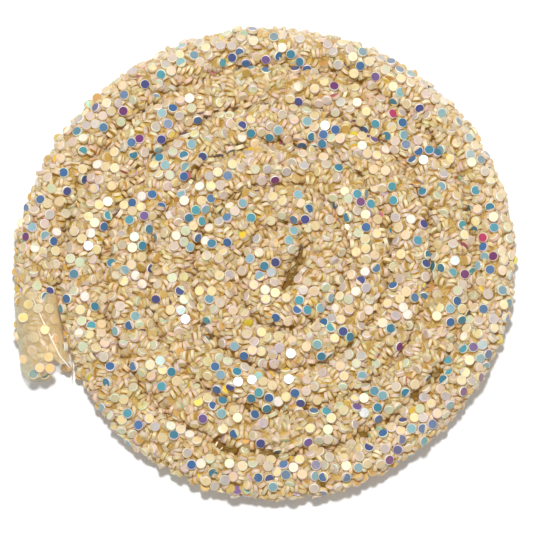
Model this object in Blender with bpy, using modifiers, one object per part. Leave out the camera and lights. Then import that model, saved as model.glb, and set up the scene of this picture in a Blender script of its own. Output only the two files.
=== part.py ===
"""Glitter cord: one soft round cord, covered in small flat discs, wound flat into a single layer.

The free end lies at the west side of the coil and points south. From there the cord runs north and
winds inward clockwise, seen from above. At the middle it turns back on itself, and its inner end is
tucked in. A sleeve of clear film holds the cut free end.

Units are millimetres in the tables and metres in the mesh. The coil lies on z = 0, +Z is up, and the
origin is at the middle of its underside.
"""
import math

import bmesh
import bpy
from mathutils import Vector

MM = 0.001

# Radii from the coil's centre, in mm, at eight compass points, in the order in which the cord meets
# them; a smooth curve is steered by them. The first row is the outer edge of the outermost turn, and
# each other row is the middle of the cord along one turn. The cord ends early in the last row.
COMPASS = ("west", "north_west", "north", "north_east", "east", "south_east", "south", "south_west")
OUTER_EDGE = dict(zip(COMPASS, (58.6, 56.3, 52.3, 49.4, 47.0, 45.1, 48.3, 50.2)))
TURNS = (
    dict(zip(COMPASS, (53.5, 51.4, 48.0, 45.1, 43.0, 41.6, 43.2, 45.1))),
    dict(zip(COMPASS, (44.1, 42.4, 39.7, 36.7, 33.9, 32.5, 34.4, 35.7))),
    dict(zip(COMPASS, (34.5, 33.3, 31.5, 28.5, 24.7, 23.9, 26.0, 26.9))),
    dict(zip(COMPASS, (25.2, 24.2, 23.1, 19.8, 15.7, 15.6, 17.6, 18.1))),
    dict(zip(COMPASS, (15.9, 15.6, 13.8, 9.6, 6.2, 6.4, 8.8, 8.2))),
    dict(zip(COMPASS, (5.2, 4.9, 6.3, 6.9, 7.0, 7.0, 7.0, 7.0))),
)
# The two compass points before the first turn: they steer the short stretch at the free end.
BEFORE_START = (78.0, 55.9)
EDGE_BEFORE_START = (130.2, 60.2)

# Winding angles: 0 at the west side of the first turn, growing clockwise, a full turn for each row.
STEP_DEG = 360 / len(COMPASS)
FILM_MOUTH_DEG = -24.2
CORD_START_DEG = -20.6
FILM_INNER_DEG = -5.8
LAST_TURN_DEG = 360 * (len(TURNS) - 1)
CORD_END_DEG = LAST_TURN_DEG + 104

# The cord's section: a place of the nominal width has the nominal height. Where nothing presses on the
# cord its half width is the free one, and a tight bend keeps a small core clear on its inner side. Where
# a neighbour presses on it, that side is a steep wall, which reaches this far up and down from the middle.
NOMINAL_WIDTH = 9.0
NOMINAL_HEIGHT = 8.6
MAX_HEIGHT = 9.3
FREE_HALF_WIDTH = 5.2
BEND_CORE = 0.5
GAP_BETWEEN_TURNS = 0.34
PRESSED_WALL = 1.8
WALL_START = 0.3
SIDES = 18
LUMP_HEIGHT = 0.16
LUMP_LENGTHS = (13.0, 19.5, 31.0)
SHARP_ANGLE_DEG = 60

# Steps between the section rings, as a share of the distance to the coil's centre, with limits.
RING_STEP_SHARE = 0.14
RING_STEP_MIN = 1.8
RING_STEP_MAX = 5.0
FINE_STEP_DEG = 1.0
# Two places on the cord this far apart along it, or more, count as neighbours that press on each other,
# but the rounded tip of the inner end presses on nothing.
NEIGHBOUR_LENGTH = 12.0
TIP_LENGTH = 1.6
# A neighbour lies to one side of the cord where the cosine to that side is at least this.
SIDE_COSINE = 0.5
STRAIGHT_ANGLE = 1e-6

# The cord's ends: distance from the very end, in mm, and the size of the section there. The free end
# is cut straight, and the inner end is tucked in and rounder.
FREE_END = ((0.0, 0.86), (1.3, 1.0))
INNER_END = ((0.0, 0.5), (0.7, 0.8), (2.2, 1.0))

# The film sleeve. At its mouth it is flatter and flares inward, past the cord, as an empty flap. The
# cord rises into the sleeve over a short stretch before it.
FILM_THICKNESS = 0.3
FILM_CLEARANCE = 0.36
FILM_SIDES = 20
FILM_RINGS = 9
FILM_FLARE = 1.0
FILM_FLAP = 2.5
FILM_END_HEIGHT = 7.9
LIFT_BLEND_DEG = 9.0

CORD_COLOR = (0.80, 0.66, 0.44, 1.0)
FILM_COLOR = (0.86, 0.84, 0.78, 1.0)


def clear_scene():
    """Remove every object that the scene starts with."""
    for obj in list(bpy.data.objects):
        bpy.data.objects.remove(obj, do_unlink=True)


def smooth_value(values, position):
    """Value of a smooth curve steered by evenly spaced values (a uniform cubic B-spline)."""
    index = min(max(int(math.floor(position)), 1), len(values) - 3)
    t = position - index
    a, b, c, d = values[index - 1:index + 3]
    weights = ((1 - t) ** 3, 3 * t ** 3 - 6 * t ** 2 + 4, -3 * t ** 3 + 3 * t ** 2 + 3 * t + 1, t ** 3)
    return (weights[0] * a + weights[1] * b + weights[2] * c + weights[3] * d) / 6


def row_values(rows, before):
    """One long list of radii from the rows of a table, with the values before the first row."""
    values = list(before)
    for row in rows:
        values.extend(row[point] for point in COMPASS)
    return values


FIRST_SEAM = {point: (TURNS[0][point] + TURNS[1][point]) / 2 for point in COMPASS}
CORD_RADII = row_values(TURNS, BEFORE_START)
EDGE_RADII = row_values((OUTER_EDGE, FIRST_SEAM), EDGE_BEFORE_START)


def cord_radius(angle_deg):
    """Distance of the cord's middle from the coil's centre, in mm, at a winding angle."""
    return smooth_value(CORD_RADII, angle_deg / STEP_DEG + len(BEFORE_START))


def edge_radius(angle_deg):
    """Distance of the coil's free outer edge from its centre, in mm, along the outermost turn."""
    return smooth_value(EDGE_RADII, angle_deg / STEP_DEG + len(EDGE_BEFORE_START))


def path_point(angle_deg):
    """Place of the cord's middle, seen from above, in mm."""
    angle = math.radians(angle_deg)
    radius = cord_radius(angle_deg)
    return Vector((-radius * math.cos(angle), radius * math.sin(angle)))


def mm_per_degree(angle_deg):
    """Length of cord for each degree of winding, in mm."""
    step = FINE_STEP_DEG / 2
    return (path_point(angle_deg + step) - path_point(angle_deg - step)).length / FINE_STEP_DEG


def outward(angle_deg):
    """Unit vector square to the cord, seen from above, on the side away from the coil's centre."""
    step = FINE_STEP_DEG / 2
    along = (path_point(angle_deg + step) - path_point(angle_deg - step)).normalized()
    return Vector((-along.y, along.x))


def fine_path():
    """Closely spaced places along the cord: angle, length from the free end, point."""
    places = []
    length = 0.0
    angle = CORD_START_DEG
    previous = path_point(angle)
    while angle <= CORD_END_DEG:
        point = path_point(angle)
        length += (point - previous).length
        places.append((angle, length, point))
        previous = point
        angle += FINE_STEP_DEG
    return places


def neighbour_half_distance(places, angle_deg, length, side):
    """Half the distance to the next stretch of cord on one side (1 outward, -1 inward), in mm."""
    here = path_point(angle_deg)
    normal = outward(angle_deg) * side
    nearest = math.inf
    tip_start = places[-1][1] - TIP_LENGTH
    for _, other_length, point in places:
        if abs(other_length - length) > NEIGHBOUR_LENGTH and other_length < tip_start:
            offset = point - here
            if offset.dot(normal) > SIDE_COSINE * offset.length:
                nearest = min(nearest, offset.length)
    return nearest / 2


def bend_radius(angle_deg):
    """Radius of the cord's bend, seen from above, in mm."""
    step = 2 * FINE_STEP_DEG
    before = path_point(angle_deg) - path_point(angle_deg - step)
    after = path_point(angle_deg + step) - path_point(angle_deg)
    return (before.length + after.length) / 2 / max(before.angle(after), STRAIGHT_ANGLE)


def film_share(angle_deg):
    """0 where the film starts and further along the cord, 1 at the film's mouth."""
    return min(max((FILM_INNER_DEG - angle_deg) / (FILM_INNER_DEG - FILM_MOUTH_DEG), 0.0), 1.0)


def film_allowance(angle_deg):
    """How far the cord stays inside the film's outer skin; it fades out beyond the film."""
    fade = min(max((FILM_INNER_DEG + LIFT_BLEND_DEG - angle_deg) / LIFT_BLEND_DEG, 0.0), 1.0)
    return (FILM_THICKNESS + FILM_CLEARANCE) * fade * fade * (3 - 2 * fade)


def full_half_widths(places, angle_deg, length):
    """Room for the cord, and any film round it, on its outer and its inner side, in mm."""
    inner = neighbour_half_distance(places, angle_deg, length, -1) - GAP_BETWEEN_TURNS / 2
    free = FREE_HALF_WIDTH + FILM_FLARE * film_share(angle_deg)
    inner = min(inner, free, bend_radius(angle_deg) - BEND_CORE)
    if angle_deg < 360 + CORD_START_DEG:
        outer = edge_radius(angle_deg) - cord_radius(angle_deg)
    else:
        outer = neighbour_half_distance(places, angle_deg, length, 1) - GAP_BETWEEN_TURNS / 2
    return outer, inner


def crest_height(width, length):
    """Height of the cord, in mm: a squeezed place stands taller, and the top is slightly lumpy."""
    height = min(NOMINAL_HEIGHT * math.sqrt(NOMINAL_WIDTH / width), MAX_HEIGHT)
    for number, wave in enumerate(LUMP_LENGTHS):
        height += LUMP_HEIGHT * math.sin(2 * math.pi * length / wave + number) / (number + 1)
    return height


def wall_heights(angle_deg):
    """Half heights of the steep walls on the outer and the inner side, in mm: 0 on a side that is free."""
    pressed_share = min(max((angle_deg - 360 - CORD_START_DEG) / STEP_DEG, 0.0), 1.0)
    return PRESSED_WALL * pressed_share, PRESSED_WALL * (1 - film_share(angle_deg))


def section_ring(angle_deg, sides, outer, inner, bottom, top, scale=1.0, walls=(0.0, 0.0)):
    """One section as points in metres: rounded, flat where it rests, steep where walls are given."""
    here = path_point(angle_deg)
    normal = outward(angle_deg)
    half_step = math.pi / sides
    half_height = (top - bottom) / 2 * scale
    middle = (top + bottom) / 2
    ring = []
    for number in range(sides):
        turn = -math.pi / 2 + (2 * number + 1) * half_step
        reach = math.cos(turn) * scale
        side, wall = (outer, walls[0]) if reach > 0 else (inner, walls[1])
        rise = math.sin(turn) / math.cos(half_step)
        wall_rise = min(max(rise / WALL_START, -1.0), 1.0) * wall * scale
        across = normal * (reach * side)
        z = middle + (half_height - wall * scale) * rise + wall_rise
        ring.append(Vector(((here.x + across.x) * MM, (here.y + across.y) * MM, z * MM)))
    return ring


def cord_rings(places):
    """The section rings along the cord, from the free end to the tucked inner end."""
    stations = []
    next_length = 0.0
    total = places[-1][1]
    for angle, length, _ in places:
        if length >= next_length:
            stations.append((angle, length, 1.0))
            step = min(max(RING_STEP_SHARE * cord_radius(angle), RING_STEP_MIN), RING_STEP_MAX)
            next_length = length + step
    free_zone = FREE_END[-1][0]
    inner_zone = INNER_END[-1][0]
    stations = [s for s in stations if free_zone < s[1] < total - inner_zone]
    for distance, scale in FREE_END:
        stations.append((CORD_START_DEG + distance / mm_per_degree(CORD_START_DEG), distance, scale))
    for distance, scale in INNER_END:
        stations.append((CORD_END_DEG - distance / mm_per_degree(CORD_END_DEG), total - distance, scale))
    stations.sort()
    rings = []
    for angle, length, scale in stations:
        outer, inner = full_half_widths(places, angle, length)
        allowance = film_allowance(angle)
        share = film_share(angle)
        top = crest_height(outer + inner, length)
        top += (FILM_END_HEIGHT - top) * share - allowance
        outer -= allowance
        inner -= allowance + FILM_FLAP * share
        walls = wall_heights(angle)
        rings.append(section_ring(angle, SIDES, outer, inner, allowance, top, scale, walls))
    return rings


def film_rings(places):
    """The rings of the film's outer skin, from its mouth to where it ends on the cord."""
    rings = []
    for number in range(FILM_RINGS):
        share = number / (FILM_RINGS - 1)
        angle = FILM_MOUTH_DEG + (FILM_INNER_DEG - FILM_MOUTH_DEG) * share
        length = max(math.radians(angle - CORD_START_DEG) * cord_radius(angle), 0.0)
        outer, inner = full_half_widths(places, angle, length)
        top = crest_height(outer + inner, length)
        top += (FILM_END_HEIGHT - top) * film_share(angle)
        rings.append(section_ring(angle, FILM_SIDES, outer, inner, 0.0, top, walls=wall_heights(angle)))
    return rings


def loft(name, rings, capped):
    """A mesh object through the rings, with flat end faces if it is capped."""
    mesh = bpy.data.meshes.new(name)
    bm = bmesh.new()
    loops = [[bm.verts.new(point) for point in ring] for ring in rings]
    for first, second in zip(loops, loops[1:]):
        count = len(first)
        for number in range(count):
            after = (number + 1) % count
            bm.faces.new((first[number], first[after], second[after], second[number]))
    if capped:
        bm.faces.new(reversed(loops[0]))
        bm.faces.new(loops[-1])
    bmesh.ops.recalc_face_normals(bm, faces=bm.faces)
    bm.to_mesh(mesh)
    bm.free()
    mesh.shade_smooth()
    mesh.set_sharp_from_angle(angle=math.radians(SHARP_ANGLE_DEG))
    return bpy.data.objects.new(name, mesh)


def make_material(name, color, roughness, transmission=0.0):
    """A Principled material with constant values."""
    material = bpy.data.materials.new(name)
    material.use_nodes = True
    shader = material.node_tree.nodes["Principled BSDF"]
    shader.inputs["Base Color"].default_value = color
    shader.inputs["Roughness"].default_value = roughness
    shader.inputs["Metallic"].default_value = 0.0
    shader.inputs["Transmission Weight"].default_value = transmission
    return material


def build_cord(places):
    """The whole cord as one solid: five and a bit turns, flat where they rest."""
    cord = loft("glitter_cord", cord_rings(places), capped=True)
    cord.data.materials.append(make_material("disc_cover", CORD_COLOR, 0.35))
    return cord


def build_film(places):
    """The clear sleeve round the cut free end, as an open skin with a thickness."""
    film = loft("end_film", film_rings(places), capped=False)
    film.data.materials.append(make_material("clear_film", FILM_COLOR, 0.12, transmission=0.9))
    solidify = film.modifiers.new("thickness", "SOLIDIFY")
    solidify.thickness = FILM_THICKNESS * MM
    solidify.offset = -1.0
    solidify.use_even_offset = True
    solidify.use_rim = True
    return film


def centre_objects(objects):
    """Move the meshes so that the origin is at the middle of the coil's underside."""
    points = [vertex.co for obj in objects for vertex in obj.data.vertices]
    low = Vector([min(point[axis] for point in points) for axis in range(3)])
    high = Vector([max(point[axis] for point in points) for axis in range(3)])
    shift = Vector((-(low.x + high.x) / 2, -(low.y + high.y) / 2, -low.z))
    for obj in objects:
        for vertex in obj.data.vertices:
            vertex.co += shift


def main():
    """Build the cord and its film into one collection."""
    clear_scene()
    collection = bpy.data.collections.new("glitter_cord_coil")
    bpy.context.scene.collection.children.link(collection)
    places = fine_path()
    objects = [build_cord(places), build_film(places)]
    centre_objects(objects)
    for obj in objects:
        collection.objects.link(obj)


main()
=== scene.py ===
"""Looks of the glitter cord: a cloth core, its cover of small pearly discs and a clear film on its end.

The cord lies wound flat. Its route repeats the table that drives the solid, so each piece lies where the
solid is. Tables are in millimetres and winding angles in degrees; meshes are in metres, z = 0 is the
surface that the coil rests on, and +Z is up.
"""
import logging
import math
from dataclasses import dataclass, field
from enum import Enum

import bpy
import numpy as np
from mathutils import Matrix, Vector, bvhtree, kdtree, noise


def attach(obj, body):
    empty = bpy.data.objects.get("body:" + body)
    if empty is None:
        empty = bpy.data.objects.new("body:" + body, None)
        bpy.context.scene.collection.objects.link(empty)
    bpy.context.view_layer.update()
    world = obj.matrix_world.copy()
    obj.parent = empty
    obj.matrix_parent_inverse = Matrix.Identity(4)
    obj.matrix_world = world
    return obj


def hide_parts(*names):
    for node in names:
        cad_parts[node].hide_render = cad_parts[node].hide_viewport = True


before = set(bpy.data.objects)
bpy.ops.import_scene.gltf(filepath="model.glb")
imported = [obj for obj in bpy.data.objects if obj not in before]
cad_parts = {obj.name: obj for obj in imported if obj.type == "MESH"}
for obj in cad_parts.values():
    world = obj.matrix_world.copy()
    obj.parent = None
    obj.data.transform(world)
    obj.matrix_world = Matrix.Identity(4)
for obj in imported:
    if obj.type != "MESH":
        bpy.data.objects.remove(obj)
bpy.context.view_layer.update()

log = logging.getLogger("glitter_cord")

MM = 0.001
BODY = "root"
COMPASS_POINTS = 8
GOLDEN_ANGLE = math.radians(137.5)
CORD_NODE = "glitter_cord"
FILM_NODE = "end_film"
TINY = 1e-6
MID = 0.5
EAST = (1.0, 0.0, 0.0)
NORTH = (0.0, 1.0, 0.0)
UP = (0.0, 0.0, 1.0)
DOWN = (0.0, 0.0, -1.0)
SCREEN_KNEE = 0.04045
SCREEN_SLOPE = 12.92
SCREEN_OFFSET = 0.055
SCREEN_POWER = 2.4
LEVEL_COSINE = 0.9
SHARP_EDGE = math.radians(42)

Color = tuple[float, float, float]
Triple = tuple[float, float, float]
Stops = tuple[tuple[float, Color], ...]


def to_linear(color: Color) -> tuple[float, float, float, float]:
    """Turn a display colour into the linear numbers that Blender works with.

    Args:
        color: Red, green and blue from 0 to 1, as a screen shows them.

    Returns:
        The same colour in linear light, with an alpha of 1.
    """
    linear = []
    for value in color:
        if value <= SCREEN_KNEE:
            linear.append(value / SCREEN_SLOPE)
        else:
            linear.append(((value + SCREEN_OFFSET) / (1 + SCREEN_OFFSET)) ** SCREEN_POWER)
    return (linear[0], linear[1], linear[2], 1.0)


class Signal:
    """One output of a node tree, with Python's operators for maths on values."""

    def __init__(self, sheet: "NodeSheet", socket: bpy.types.NodeSocket) -> None:
        """Wrap a socket of a sheet's tree."""
        self.sheet = sheet
        self.socket = socket

    def _math(self, operation: str, first: "Signal | float", second: "Signal | float") -> "Signal":
        """Add one Math node.

        Args:
            operation: The Math node's operation.
            first: Its first value.
            second: Its second value.

        Returns:
            The node's result.
        """
        return self.sheet.add("ShaderNodeMath", {"operation": operation}, {0: first, 1: second})

    def __add__(self, other: "Signal | float") -> "Signal":
        """This plus the other."""
        return self._math("ADD", self, other)

    def __radd__(self, other: float) -> "Signal":
        """The other plus this."""
        return self._math("ADD", other, self)

    def __sub__(self, other: "Signal | float") -> "Signal":
        """This minus the other."""
        return self._math("SUBTRACT", self, other)

    def __rsub__(self, other: float) -> "Signal":
        """The other minus this."""
        return self._math("SUBTRACT", other, self)

    def __mul__(self, other: "Signal | float") -> "Signal":
        """This times the other."""
        return self._math("MULTIPLY", self, other)

    def __rmul__(self, other: float) -> "Signal":
        """The other times this."""
        return self._math("MULTIPLY", other, self)


class NodeSheet:
    """A material whose look comes from nodes."""

    def __init__(self, name: str) -> None:
        """Make a material with a Principled shader and nothing else.

        Args:
            name: The material's name.
        """
        self.material = bpy.data.materials.new(name)
        self.material.use_nodes = True
        self.tree = self.material.node_tree
        self.shader = self.tree.nodes["Principled BSDF"]

    def add(self, kind: str, settings: dict, inputs: dict, output: "int | str" = 0) -> Signal:
        """Add one node.

        Args:
            kind: The node's type.
            settings: Its own properties, set first; "stops" gives a ramp's places and display colours.
            inputs: Values or signals, by the number or name of the socket.
            output: The number or name of the output that is wanted.

        Returns:
            That output.
        """
        node = self.tree.nodes.new(kind)
        for key, value in settings.items():
            if key == "stops":
                elements = node.color_ramp.elements
                while len(elements) < len(value):
                    elements.new(1.0)
                for element, (place, color) in zip(elements, value):
                    element.position, element.color = place, to_linear(color)
            else:
                setattr(node, key, value)
        for key, value in inputs.items():
            self.feed(node.inputs[key], value)
        return Signal(self, node.outputs[output])

    def feed(self, socket: bpy.types.NodeSocket, value: object) -> None:
        """Give a socket a link or a value.

        Args:
            socket: The socket to feed.
            value: A signal to link, or a plain value to set.
        """
        if isinstance(value, Signal):
            self.tree.links.new(value.socket, socket)
        else:
            socket.default_value = value

    def principled(self, **values: object) -> bpy.types.Material:
        """Feed the shader.

        Args:
            **values: Values or signals by the shader's socket names, with _ for a space.

        Returns:
            The finished material.
        """
        for name, value in values.items():
            self.feed(self.shader.inputs[name.replace("_", " ")], value)
        return self.material

    def place(self) -> Signal:
        """The point on the piece, in metres."""
        return self.add("ShaderNodeTexCoord", {}, {}, "Object")

    def attribute(self, name: str, output: str) -> Signal:
        """One output of an attribute that the mesh carries."""
        return self.add("ShaderNodeAttribute", {"attribute_name": name}, {}, output)

    def ramp(self, stops: Stops, value: Signal) -> Signal:
        """The colour that a value picks on a ramp."""
        return self.add("ShaderNodeValToRGB", {"stops": stops}, {"Fac": value})

    def mottle(self, size_mm: float, detail: float = 2.0) -> Signal:
        """Soft uneven patches.

        Args:
            size_mm: How large the patches are.
            detail: How many finer layers they have.

        Returns:
            The noise from 0 to 1.
        """
        inputs = {"Vector": self.place(), "Scale": 1 / (size_mm * MM), "Detail": detail}
        return self.add("ShaderNodeTexNoise", {}, inputs)

    def mix(self, factor: "Signal | float", first: object, second: object, blend: str = "MIX") -> Signal:
        """Mix two colours.

        Args:
            factor: How much of the second shows, from 0 to 1.
            first: A colour or a signal.
            second: A colour or a signal.
            blend: The way they mix.

        Returns:
            The mixed colour.
        """
        settings = {"data_type": "RGBA", "blend_type": blend}
        return self.add("ShaderNodeMix", settings, {0: factor, 6: first, 7: second}, 2)

    def bump(self, height: Signal, distance_mm: float, strength: float = 1.0) -> Signal:
        """A normal from a height.

        Args:
            height: The height from 0 to 1.
            distance_mm: What a height of 1 measures.
            strength: How much of the bump shows.

        Returns:
            The bent normal.
        """
        inputs = {"Height": height, "Distance": distance_mm * MM, "Strength": strength}
        return self.add("ShaderNodeBump", {}, inputs)


@dataclass(frozen=True)
class DiscFinish:
    """Glossy plastic with a thin pearly coat; each disc carries its own tints."""

    cloud_mm: float = 0.9
    cloud_share: float = 0.36
    clouds: Stops = ((0.3, (0.82, 0.79, 0.74)), (0.5, (0.97, 0.96, 0.95)), (0.72, (1.0, 0.95, 0.88)))
    grain_mm: float = 0.12
    grain_detail: float = 3.0
    grain_depth_mm: float = 0.03
    grain_strength: float = 0.5
    grain_roughness: float = 0.18
    face_roughness: float = 0.26
    edge_roughness: float = 0.55
    face_coat: float = 0.08
    edge_coat: float = 0.16
    coat_patch_mm: float = 0.6
    coat_roughness: float = 0.1
    ior: float = 1.5
    gloss: Color = (1.0, 0.94, 0.80)
    inner_light: float = 0.4
    inner_light_mm: float = 0.7
    inner_light_radius: Triple = (1.0, 0.8, 0.5)
    # painted light: a faint amber glow that lifts the shaded gaps between the discs; the discs are not lamps
    glow: Color = (0.91, 0.69, 0.35)
    glow_strength: float = 0.07

    def material(self) -> bpy.types.Material:
        """Make the discs' material.

        Returns:
            The material.
        """
        sheet = NodeSheet("pearly_disc_plastic")
        tint = sheet.attribute("tint", "Color")
        facing = sheet.attribute("tint", "Alpha")
        cloud = sheet.ramp(self.clouds, sheet.mottle(self.cloud_mm))
        grain = sheet.mottle(self.grain_mm, self.grain_detail)
        smoother = (self.edge_roughness - self.face_roughness) * facing
        return sheet.principled(
            Base_Color=sheet.mix(self.cloud_share, tint, cloud, "MULTIPLY"),
            Roughness=self.edge_roughness - smoother + self.grain_roughness * (grain - MID),
            Coat_Weight=self.face_coat * facing + self.edge_coat * sheet.mottle(self.coat_patch_mm),
            Coat_Roughness=self.coat_roughness,
            IOR=self.ior,
            Specular_Tint=to_linear(self.gloss),
            Subsurface_Weight=self.inner_light,
            Subsurface_Radius=self.inner_light_radius,
            Subsurface_Scale=self.inner_light_mm * MM,
            # painted light: the discs glow faintly amber
            Emission_Color=to_linear(self.glow),
            Emission_Strength=self.glow_strength,
            Normal=sheet.bump(grain, self.grain_depth_mm, self.grain_strength),
        )


@dataclass(frozen=True)
class ClothFinish:
    """The golden brown cloth under the discs: a tight knit, with painted shade that darkens its hollows, and
    a painted amber glow.
    """

    thread_mm: float = 0.45
    thread_depth_mm: float = 0.12
    thread_strength: float = 0.8
    # thread colours that get darker towards the hollows between the loops: partly yarn colour, partly
    # painted shade
    yarn_and_hollow_shade: Stops = ((0.1, (0.80, 0.69, 0.43)), (0.45, (0.70, 0.59, 0.33)), (0.8, (0.56, 0.45, 0.22)))
    stain: Color = (0.52, 0.43, 0.20)
    stain_mm: float = 3.0
    stain_share: float = 0.3
    roughness: float = 0.75
    roughness_swing: float = 0.15
    roughness_mm: float = 0.5
    # painted light: an amber glow that lifts the shaded gaps between the discs; the cloth is not a lamp
    glow: Color = (0.78, 0.60, 0.28)
    glow_strength: float = 0.2

    def material(self) -> bpy.types.Material:
        """Make the cloth's material.

        Returns:
            The material.
        """
        sheet = NodeSheet("golden_brown_knit")
        inputs = {"Vector": sheet.place(), "Scale": 1 / (self.thread_mm * MM)}
        loops = sheet.add("ShaderNodeTexVoronoi", {"feature": "F1"}, inputs, "Distance")
        stained = self.stain_share * sheet.mottle(self.stain_mm)
        return sheet.principled(
            # painted shade: the ramp darkens the knit where its bump is low
            Base_Color=sheet.mix(stained, sheet.ramp(self.yarn_and_hollow_shade, loops), to_linear(self.stain)),
            Roughness=self.roughness + self.roughness_swing * (sheet.mottle(self.roughness_mm) - MID),
            # painted light: the cloth glows amber
            Emission_Color=to_linear(self.glow),
            Emission_Strength=self.glow_strength,
            Normal=sheet.bump(1 - loops, self.thread_depth_mm, self.thread_strength),
        )


@dataclass(frozen=True)
class FilmFinish:
    """Thin clear film: mostly see-through, a little milky and creased."""

    name: str
    color: Color
    alpha: float
    alpha_swing: float
    roughness: float
    roughness_swing: float = 0.2
    haze_mm: float = 2.6
    haze_detail: float = 3.0
    crease_mm: float = 1.1
    crease_detail: float = 4.0
    crease_shade: float = 0.8
    crease_depth_mm: float = 0.5
    crease_strength: float = 0.6
    outer_side: Color = (0.85, 0.86, 0.79)
    inner_side: Color = (0.91, 0.83, 0.66)
    side_alpha: float = 0.24
    # painted light: the film glows faintly in its own colour, to lighten its flanks where they lie in shade
    glow_strength: float = 0.14
    coat: float = 0.25
    coat_roughness: float = 0.2
    ior: float = 1.48

    def material(self) -> bpy.types.Material:
        """Make the film's material; a mesh may carry how far to the outer side each point lies.

        Returns:
            The material.
        """
        sheet = NodeSheet(self.name)
        haze = sheet.mottle(self.haze_mm, self.haze_detail)
        creases = sheet.mottle(self.crease_mm, self.crease_detail)
        side = sheet.attribute("side", "Fac")
        warm = to_linear(self.inner_side)
        outer = sheet.mix(side, to_linear(self.color), to_linear(self.outer_side))
        clear = sheet.mix(0 - side, outer, warm)
        base = sheet.mix(self.crease_shade * creases, clear, warm, "MULTIPLY")
        return sheet.principled(
            Base_Color=base,
            Roughness=self.roughness + self.roughness_swing * (creases - MID),
            Alpha=self.alpha + self.alpha_swing * (haze - MID) + self.side_alpha * side * side,
            # painted light: the film glows in its own colour
            Emission_Color=base,
            Emission_Strength=self.glow_strength,
            Coat_Weight=self.coat,
            Coat_Roughness=self.coat_roughness,
            IOR=self.ior,
            Normal=sheet.bump(creases, self.crease_depth_mm, self.crease_strength),
        )


SLEEVE_FILM = FilmFinish("clear_film", (0.92, 0.86, 0.69), alpha=0.22, alpha_swing=0.14, roughness=0.5)
# painted highlight: the crease is near white and glows, standing in for the light caught along the fold
CREASE_HIGHLIGHT_FILM = FilmFinish("film_crease", (1.0, 0.98, 0.95), alpha=0.95, alpha_swing=0.1, roughness=0.3)
FLAKE_FILM = FilmFinish("film_flake", (0.80, 0.70, 0.55), alpha=0.85, alpha_swing=0.2, roughness=0.7)


@dataclass(frozen=True)
class PaperFinish:
    """The plain white surface that the cord lies on."""

    white: Color = (0.975, 0.975, 0.975)
    soft: Color = (0.965, 0.965, 0.965)
    pulp_mm: float = 0.8
    pulp_detail: float = 3.0
    roughness: float = 0.9
    roughness_swing: float = 0.1
    specular: float = 0.1
    glow: Color = (1.0, 1.0, 1.0)
    glow_strength: float = 0.05

    def material(self) -> bpy.types.Material:
        """Make the surface's material.

        Returns:
            The material.
        """
        sheet = NodeSheet("white_paper")
        pulp = sheet.mottle(self.pulp_mm, self.pulp_detail)
        return sheet.principled(
            Base_Color=sheet.mix(pulp, to_linear(self.white), to_linear(self.soft)),
            Roughness=self.roughness + self.roughness_swing * (pulp - MID),
            Specular_IOR_Level=self.specular,
            Emission_Color=to_linear(self.glow),
            Emission_Strength=self.glow_strength,
        )


class Skin(Enum):
    """The two outsides that follow the route."""

    CORD = "cord"
    FILM = "film"


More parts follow.
